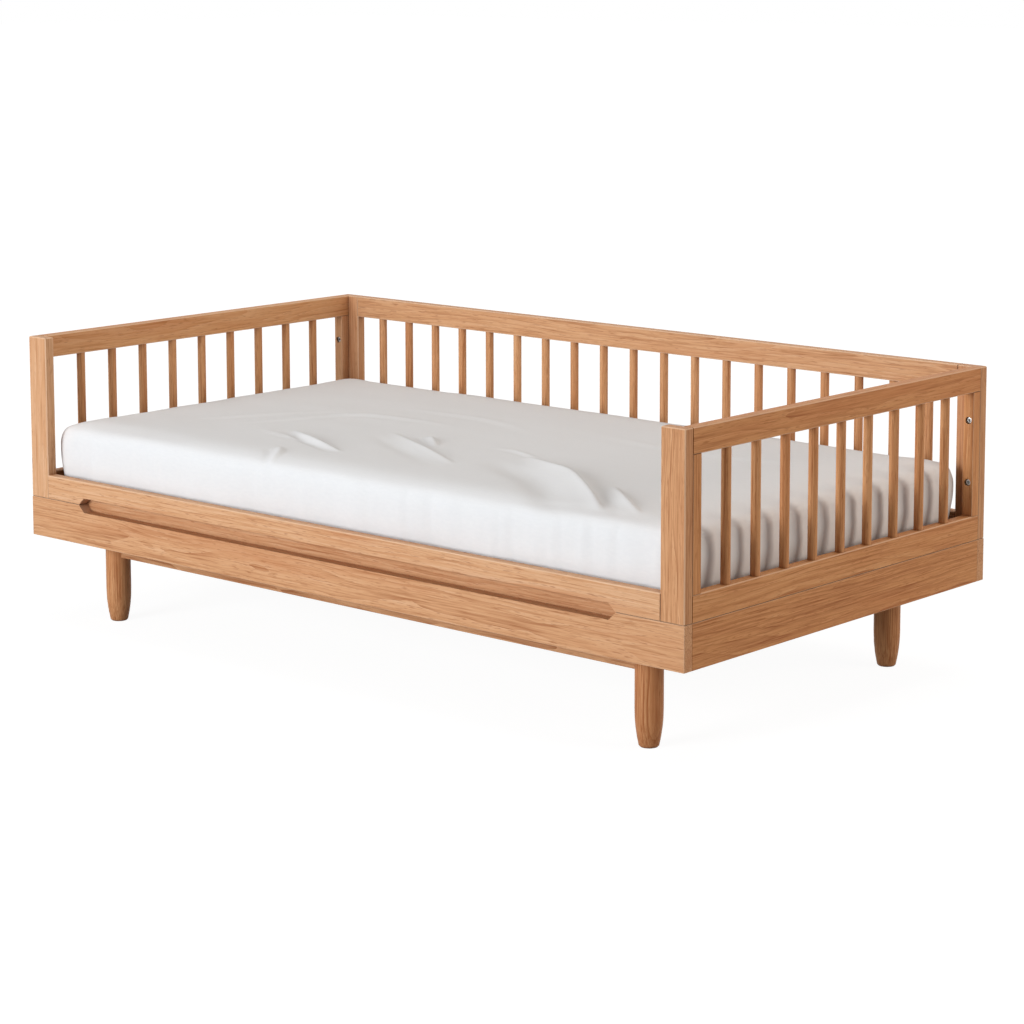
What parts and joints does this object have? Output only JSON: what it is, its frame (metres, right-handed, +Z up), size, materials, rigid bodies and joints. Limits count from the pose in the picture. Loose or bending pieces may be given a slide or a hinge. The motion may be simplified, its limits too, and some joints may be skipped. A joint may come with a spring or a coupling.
{
  "type": "convertible crib",
  "caption": "Light oak convertible crib in its day-bed form, with spindle panels on three sides, a slotted plinth, round legs and a mattress in a white fitted sheet.",
  "frame": {"origin": "on the floor, under the centre of the crib", "axes": "+X along the length, to the right seen from the open front; +Y from the open front to the back panel; +Z up"},
  "size_m": [1.368, 0.746, 0.472],
  "materials": {
    "oak": "satin clear lacquer",
    "inner_wood": "planed, unfinished",
    "bolt_steel": "satin",
    "mattress_cover": "woven ticking",
    "white_cotton": "plain weave cotton"
  },
  "bodies": {
    "crib_frame": {"back_bottom_rail": "oak", "back_ledger": "inner_wood", "back_left_post": "oak", "back_right_post": "oak", "back_spindles": "oak", "back_stretcher": "oak", "back_top_rail": "oak", "base_back_board": "oak", "base_front_board": "oak", "base_left_board": "oak", "base_right_board": "oak", "corner_blocks": "inner_wood", "front_ledger": "inner_wood", "front_left_post": "oak", "front_right_post": "oak", "front_stretcher": "oak", "front_upper_rail": "oak", "left_back_stile": "oak", "left_bottom_rail": "oak", "left_cross_board": "inner_wood", "left_front_stile": "oak", "left_spindles": "oak", "left_top_rail": "oak", "legs": "oak", "panel_bolts": "bolt_steel", "plinth_tenons": "inner_wood", "rail_tenons": "inner_wood", "right_back_stile": "oak", "right_bottom_rail": "oak", "right_cross_board": "inner_wood", "right_front_stile": "oak", "right_spindles": "oak", "right_top_rail": "oak", "slot_backing_strip": "oak"},
    "slatted_base": {"base_slats": "inner_wood", "slat_front_batten": "inner_wood", "slat_back_batten": "inner_wood"},
    "bedding": {"mattress": "mattress_cover", "fitted_sheet": "white_cotton"}
  },
  "joints": [
    {"name": "slat_base_lift", "type": "slide", "parent": "crib_frame", "child": "slatted_base", "axis": [0, 0, 1], "range_m": [0, 0.31]},
    {"name": "mattress_lift", "type": "slide", "parent": "slatted_base", "child": "bedding", "axis": [0, 0, 1], "range_m": [0, 0.28]}
  ]
}
